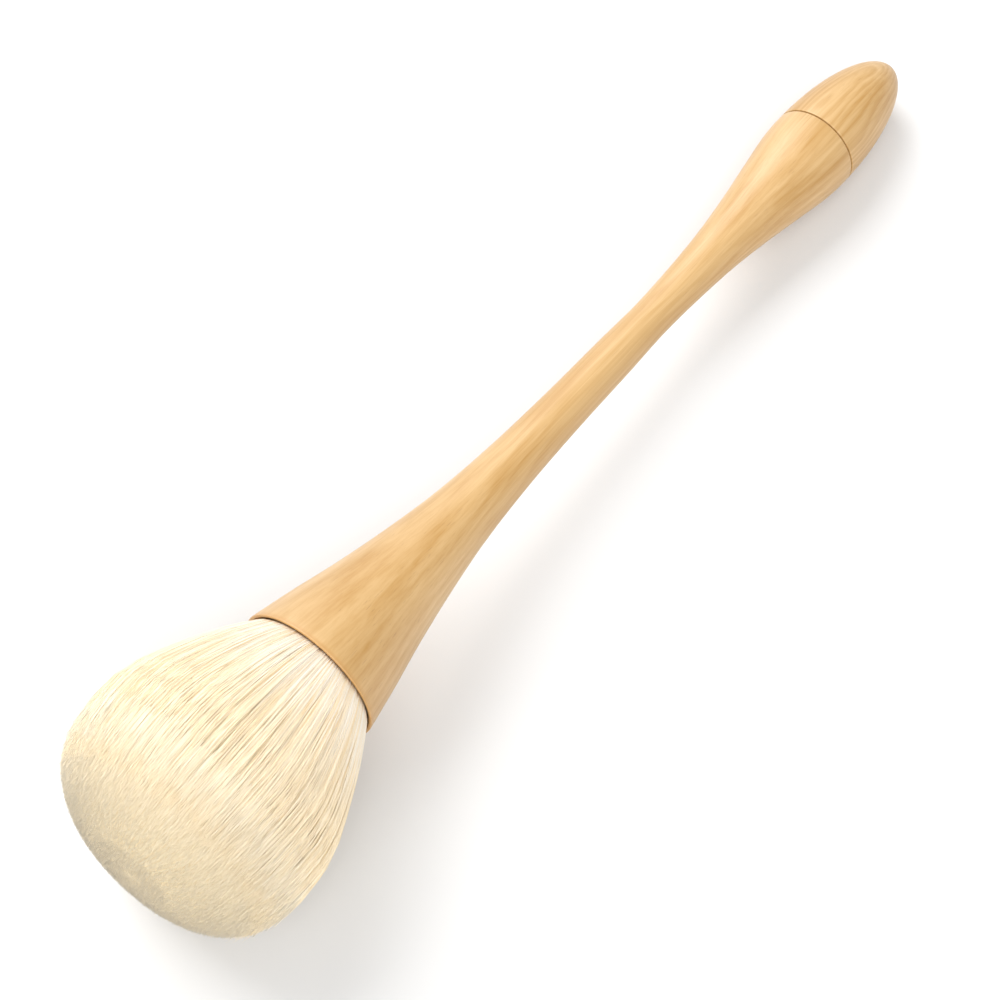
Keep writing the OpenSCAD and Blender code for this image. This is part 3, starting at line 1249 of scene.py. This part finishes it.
@dataclass
class BristleHead:
    """The tuft: a dense inside and layers of strands over it.

    Attributes:
        seed: start of the random draws.
        layers: the layers of strands.
        partings: the gaps in the outer layer.
    """

    seed: int = 11
    layers: tuple[StrandLayer, ...] = (
        StrandLayer("long_strands", pieces=4, strands=3800, inner=0.93,
                    rings=(0, 0.06, 0.14, 0.24, 0.36, 0.48, 0.6, 0.74, 0.88, 1), depth=None, thick=0.066,
                    uneven=0.7, fuzz=0.12, tint=0.34, cross=0.05, stray=0.06, lift=0.0),
        StrandLayer("tip_strands", pieces=6, strands=11500, inner=0.0, rings=(0, 0.4, 0.78, 1), depth=5.0,
                    thick=0.055, uneven=0.1, fuzz=0.2, tint=0.16, cross=0.012, stray=0.08, lift=0.6),
    )
    partings: Partings = field(default_factory=Partings)

    def __post_init__(self) -> None:
        """Reads the tuft's shape and starts the random draws."""
        self.shape = TuftShape.of_frame()
        self.draw = np.random.default_rng(self.seed)
        self.place = np.array(AXIS.matrix)

    def build(self) -> None:
        """Builds the inside and every layer of strands."""
        self.build_inside()
        material = Filament("cream_filament").material()
        for layer in self.layers:
            for number in range(layer.pieces):
                self.build_strands(layer, number, material)

    def build_inside(self) -> None:
        """Builds the dense inside as a closed turned shape, under the strands."""
        heights = np.concatenate([np.linspace(-9.0, 1.0, 6), np.linspace(3.0, 29.0, 14)])
        sides = [(0.95 * float(self.shape.sheath(np.array(h))) - 0.3, float(h)) for h in heights]
        top_end = self.shape.length - 0.8
        scale = top_end / self.shape.length
        top = [(float(self.shape.dome(np.array(h))) * 0.95, float(h) * scale)
               for h in np.linspace(32.0, self.shape.length, 20)]
        top[-1] = (0.0, top_end)
        bm = turned([(0.0, sides[0][1]), *sides, *top], 96)
        for vertex in bm.verts:
            vertex.co = Vector(self.leaned(np.array(vertex.co)[None])[0])
        piece = finish_mesh(bm, "tuft_inside", AXIS.matrix)
        self.press(piece.data, 0.25 * MM)
        dress(piece, PackedFilament("packed_filament").material())
        settle(piece, Body.HANDLE, Slot.BRISTLE, "bristle_head")

    def leaned(self, points: np.ndarray) -> np.ndarray:
        """Points about the brush's axis, moved sideways by the tuft's lean."""
        share = np.clip(points[..., 2] / self.shape.length, 0, 1.1)
        moved = points.copy()
        moved[..., 0] += self.shape.lean * share**1.5
        return moved

    @staticmethod
    def press(mesh: bpy.types.Mesh, clear: float, above: float = 1.6 * MM, below: float = 1.4 * MM) -> None:
        """Presses a mesh flat where it would go through the table.

        Args:
            mesh: the mesh, in the row frame.
            clear: height it keeps above the table.
            above: height up to which it gives.
            below: greatest depth it would reach.
        """
        places = np.empty(len(mesh.vertices) * 3, np.float32)
        mesh.vertices.foreach_get("co", places)
        height = places[2::3]
        low = height < above
        share = np.clip((height[low] + below) / (above + below), 0, 1)
        places[2::3][low] = clear + share * (above - clear)
        mesh.vertices.foreach_set("co", places)
        mesh.update()

    def build_strands(self, layer: StrandLayer, number: int, material: bpy.types.Material) -> None:
        """Builds one piece of a layer.

        Args:
            layer: the layer.
            number: the piece's number in it.
            material: the strands' material.
        """
        name = f"{layer.name}_{number + 1}"
        piece = finish_mesh(layer.template(), name, Matrix.Identity(4))
        single = SingleStrand.of_mesh(piece.data)
        copies = piece.modifiers.new("copies", "ARRAY")
        copies.use_relative_offset = False
        copies.use_constant_offset = False
        copies.count = layer.strands
        mesh = bpy.data.meshes.new_from_object(piece.evaluated_get(bpy.context.evaluated_depsgraph_get()))
        mesh.name = name
        piece.modifiers.clear()
        piece.data = mesh
        paths = self.strand_paths(layer)
        places, normals = self.strand_places(layer, single, paths)
        tone = self.strand_tones(layer, paths)
        mesh.vertices.foreach_set("co", places.astype(np.float32).ravel())
        self.press(mesh, 0.03 * MM)
        if layer.lift > 0:
            mesh.normals_split_custom_set_from_vertices(normals)
        self.map_strands(mesh, layer, single, tone)
        dress(piece, material)
        settle(piece, Body.HANDLE, Slot.BRISTLE)

    @staticmethod
    def locks(angle: np.ndarray, height: np.ndarray) -> np.ndarray:
        """Soft waves round the tuft.

        Args:
            angle: one angle for each strand.
            height: the strands' heights, ring by ring.

        Returns:
            Values between -1 and 1, ring by ring.
        """
        waves = np.zeros_like(height)
        for waviness, share, twist in ((17, 0.4, 0.05), (31, 0.35, -0.07), (53, 0.25, 0.1)):
            waves += share * np.sin(waviness * angle[:, None] + twist * height + waviness)
        return waves

    def strand_paths(self, layer: StrandLayer) -> StrandPaths:
        """Draws the lines that a piece's strands follow.

        Args:
            layer: the layer.

        Returns:
            The lines, in millimetres about the brush's axis.
        """
        draw, count, shape = self.draw, layer.strands, self.shape
        angle = draw.uniform(-math.pi, math.pi, count)
        depth = np.sqrt(draw.uniform(layer.inner**2, 1, count))
        tip = shape.tip_height(depth) - 0.45 + draw.normal(0, layer.uneven, count)
        tip = np.minimum(tip, shape.length + 0.5)
        start = np.full(count, -1.8) if layer.depth is None else tip - layer.depth
        shares = np.array(layer.rings)
        height = start[:, None] + (tip - start)[:, None] * shares
        along = np.clip(height / shape.length, 0, 1)
        radius = 0.985 * depth[:, None] * shape.sheath(height)
        outer = np.clip((depth - 0.945) / 0.02, 0, 1)[:, None]
        aside, inward, close = self.partings.push(angle, radius, height)
        radius += 0.07 * along * self.locks(angle, height) - inward * outer
        radius += draw.normal(0, 0.06, count)[:, None] * along
        radius += np.abs(draw.normal(0, layer.fuzz, count))[:, None] * along * shares**2
        off = (draw.uniform(0, 1, count) < layer.stray) * draw.uniform(0.12, 0.8, count)
        radius = np.clip(radius + off[:, None] * along**2, 0.02, None)
        turn = angle[:, None] + draw.normal(0, layer.cross, count)[:, None] * along
        turn += aside * outer / radius
        points = self.leaned(np.stack([radius * np.cos(turn), radius * np.sin(turn), height], -1))
        return StrandPaths(angle, depth, off, height, radius, turn, close, points)

    def strand_places(self, layer: StrandLayer, single: SingleStrand, paths: StrandPaths
                      ) -> tuple[np.ndarray, np.ndarray]:
        """Lays every strand of a piece along its line.

        Args:
            layer: the layer.
            single: the layer's single strand.
            paths: the strands' lines.

        Returns:
            Every vertex and its normal, in the row frame.
        """
        draw, count, shape, turn = self.draw, layer.strands, self.shape, paths.turn
        shares = np.array(layer.rings)
        ahead = np.gradient(paths.points, axis=1)
        ahead /= np.linalg.norm(ahead, axis=-1, keepdims=True)
        side = np.stack([-np.sin(turn), np.cos(turn), np.zeros_like(turn)], -1)
        out = np.cross(side, ahead)
        swell = 0.8 + 0.2 * np.clip(shares * 3, 0, 1) - 0.5 * shares**3
        thick = layer.thick * draw.uniform(0.75, 1.2, count)[:, None] * swell
        corner = single.corner + draw.uniform(0, math.tau, count)[:, None]
        round_it = (out[:, single.ring] * np.cos(corner)[..., None]
                    + side[:, single.ring] * np.sin(corner)[..., None])
        reach = (thick[:, single.ring] * single.width)[..., None]
        places = paths.points[:, single.ring] + round_it * reach
        crown = shape.dome_normal(turn, paths.radius, paths.height)
        near_dome = np.clip((paths.height - shape.wide_at + 8) / 10, 0, 1)[..., None]
        facing = out + (crown - out) * near_dome
        normals = layer.lift * facing[:, single.ring] + (1 - layer.lift) * round_it
        normals = normals.reshape(-1, 3) @ self.place[:3, :3].T
        normals /= np.linalg.norm(normals, axis=-1, keepdims=True)
        return places.reshape(-1, 3) @ self.place[:3, :3].T + self.place[:3, 3], normals

    def strand_tones(self, layer: StrandLayer, paths: StrandPaths) -> np.ndarray:
        """Draws the strands' tones: random, and warmer deep in the tuft and by its partings as painted
        shade.

        Args:
            layer: the layer.
            paths: the strands' lines.

        Returns:
            Values between 0 and 1, ring by ring.
        """
        deep = np.clip((1 - paths.depth) / 0.05, 0, 1)
        warm = 0.5 * np.sin(11 * paths.angle + 1.3) * np.sin(29 * paths.angle)
        # Painted shade: strands deep in the tuft turn towards gold; the waves round the tuft are their own
        # tone.
        tone = 0.1 + 0.6 * deep**1.2 + 0.2 * warm - 0.3 * (paths.off > 0)
        tone += np.abs(self.draw.normal(0, layer.tint, layer.strands))
        # Painted shade: strands beside a parting turn towards gold.
        return np.clip(tone[:, None] + 0.6 * paths.close, 0, 1)

    def map_strands(self, mesh: bpy.types.Mesh, layer: StrandLayer, single: SingleStrand,
                    tone: np.ndarray) -> None:
        """Gives each strand a map: its tone across and its height upwards.

        Args:
            mesh: the piece's mesh.
            layer: its layer.
            single: the layer's single strand.
            tone: every strand's tones, ring by ring.
        """
        corner = np.empty(len(mesh.loops), np.int32)
        mesh.loops.foreach_get("vertex_index", corner)
        strand, own = np.divmod(corner, len(single.ring))
        across = 0.02 + 0.94 * tone[strand, single.ring[own]] + 0.02 * single.corner[own] / math.pi
        upward = np.array(layer.rings)[single.ring[own]]
        if layer.depth is None:
            upward = upward + self.draw.uniform(-0.02, 0.02, layer.strands)[strand]
        else:
            upward = 0.75 + 0.25 * upward
        flat = np.stack([across, upward], -1)
        strand_map = mesh.uv_layers.new(name=STRAND_MAP)
        strand_map.data.foreach_set("uv", flat.astype(np.float32).ravel())


# ---------------------------------------------------------------------------------------------
# The studio
# ---------------------------------------------------------------------------------------------


@dataclass
class Studio:
    """Pale floor, soft light and the camera.

    Attributes:
        focal: focal length for a 36 mm wide sensor, in millimetres.
        mouth_seen: centre of the mouth as the camera sees it, right, up and behind, in metres.
        tail_seen: direction from the mouth to the tail as the camera sees it.
    """

    focal: float = 97.9
    mouth_seen: Vector = field(default_factory=lambda: Vector((-0.03031, -0.02778, -0.430)))
    tail_seen: Vector = field(default_factory=lambda: Vector((0.6213, 0.6526, -0.4337)))

    def camera_turn(self) -> Matrix:
        """The camera's rotation, level, with the brush's axis where the camera sees it."""
        tail = self.tail_seen.normalized()
        facing = (Vector((0, 0, 1)) - tail * tail.z).normalized()
        aside = tail.cross(facing)
        down = -AXIS.ahead.z

        def floor_normal(turn: float) -> Vector:
            """The floor's normal as the camera sees it, for a turn about the brush's axis."""
            across = facing * math.cos(turn) - aside * math.sin(turn)
            return tail * down + across * math.sqrt(1 - down * down)

        turn = min((math.radians(a / 10) for a in range(0, 600)),
                   key=lambda a: abs(floor_normal(a).x))
        seen_up = facing * math.cos(turn) - aside * math.sin(turn)
        seen = Matrix((tail, seen_up, tail.cross(seen_up))).transposed()
        tail_here, up_here = -AXIS.ahead, AXIS.up
        here = Matrix((tail_here, up_here, tail_here.cross(up_here))).transposed()
        return here @ seen.transposed()

    def build(self) -> None:
        """Builds the camera, the lights, the world and the floor."""
        turn = self.camera_turn()
        camera = bpy.data.objects.new("camera", bpy.data.cameras.new("camera"))
        camera.data.lens = self.focal
        camera.data.sensor_width = 36.0
        camera.data.clip_start = 0.01
        camera.matrix_world = Matrix.Translation(AXIS.mouth - turn @ self.mouth_seen) @ turn.to_4x4()
        bpy.context.scene.collection.objects.link(camera)
        bpy.context.scene.camera = camera
        middle = AXIS.mouth - AXIS.ahead * 0.06
        for name, seen, size, power in (
                ("key_light", (-1.65, 3.05, 1.5), 3.1, 155.0),
                ("fill_light", (0.25, -0.8, 3.7), 3.2, 120.0)):
            self.add_light(name, middle, turn @ Vector(seen), size, power)
        self.add_world()
        self.add_floor()
        bpy.context.scene.view_settings.view_transform = "Standard"
        bpy.context.scene.cycles.denoising_prefilter = "NONE"

    @staticmethod
    def add_light(name: str, target: Vector, way: Vector, size: float, power: float) -> None:
        """Adds a soft square light.

        Args:
            name: the light's name.
            target: the point it faces.
            way: where it stands from the target, in metres.
            size: its side, in metres.
            power: its power, in watts.
        """
        data = bpy.data.lights.new(name, "AREA")
        data.size = size
        data.energy = power
        light = bpy.data.objects.new(name, data)
        light.matrix_world = (Matrix.Translation(target + way)
                              @ (-way).to_track_quat("-Z", "Y").to_matrix().to_4x4())
        bpy.context.scene.collection.objects.link(light)

    @staticmethod
    def add_world() -> None:
        """Adds an even pale surround, which looks brighter to the camera than the light it gives."""
        world = bpy.data.worlds.new("pale_surround")
        world.use_nodes = True
        sky = world.node_tree.nodes["Background"]
        sky.inputs["Color"].default_value = (1.0, 1.0, 1.0, 1.0)
        nodes = Nodes(world.node_tree)
        seen = nodes.add("LightPath").outputs["Is Camera Ray"]
        nodes.feed(sky.inputs["Strength"], nodes.maths("MULTIPLY_ADD", seen, 0.45, 0.5))
        bpy.context.scene.world = world

    @staticmethod
    def add_floor() -> None:
        """Adds a plain pale table under the brush."""
        bm = bmesh.new()
        bmesh.ops.create_grid(bm, x_segments=1, y_segments=1, size=3.0)
        floor = finish_mesh(bm, "floor", Matrix.Translation((0, 0, -0.0001)))
        dress(floor, PaleFloor().material())


def main() -> None:
    """Builds the brush and the studio, in order."""
    logging.basicConfig(level=logging.INFO, format="%(name)s: %(message)s")
    Studio().build()
    for part in (HandleShell(), EndCap(), BalanceWeight(), BristleKnot(), BristleHead()):
        log.info("building %s", type(part).__name__)
        part.build()


if __name__ == "__main__":
    main()
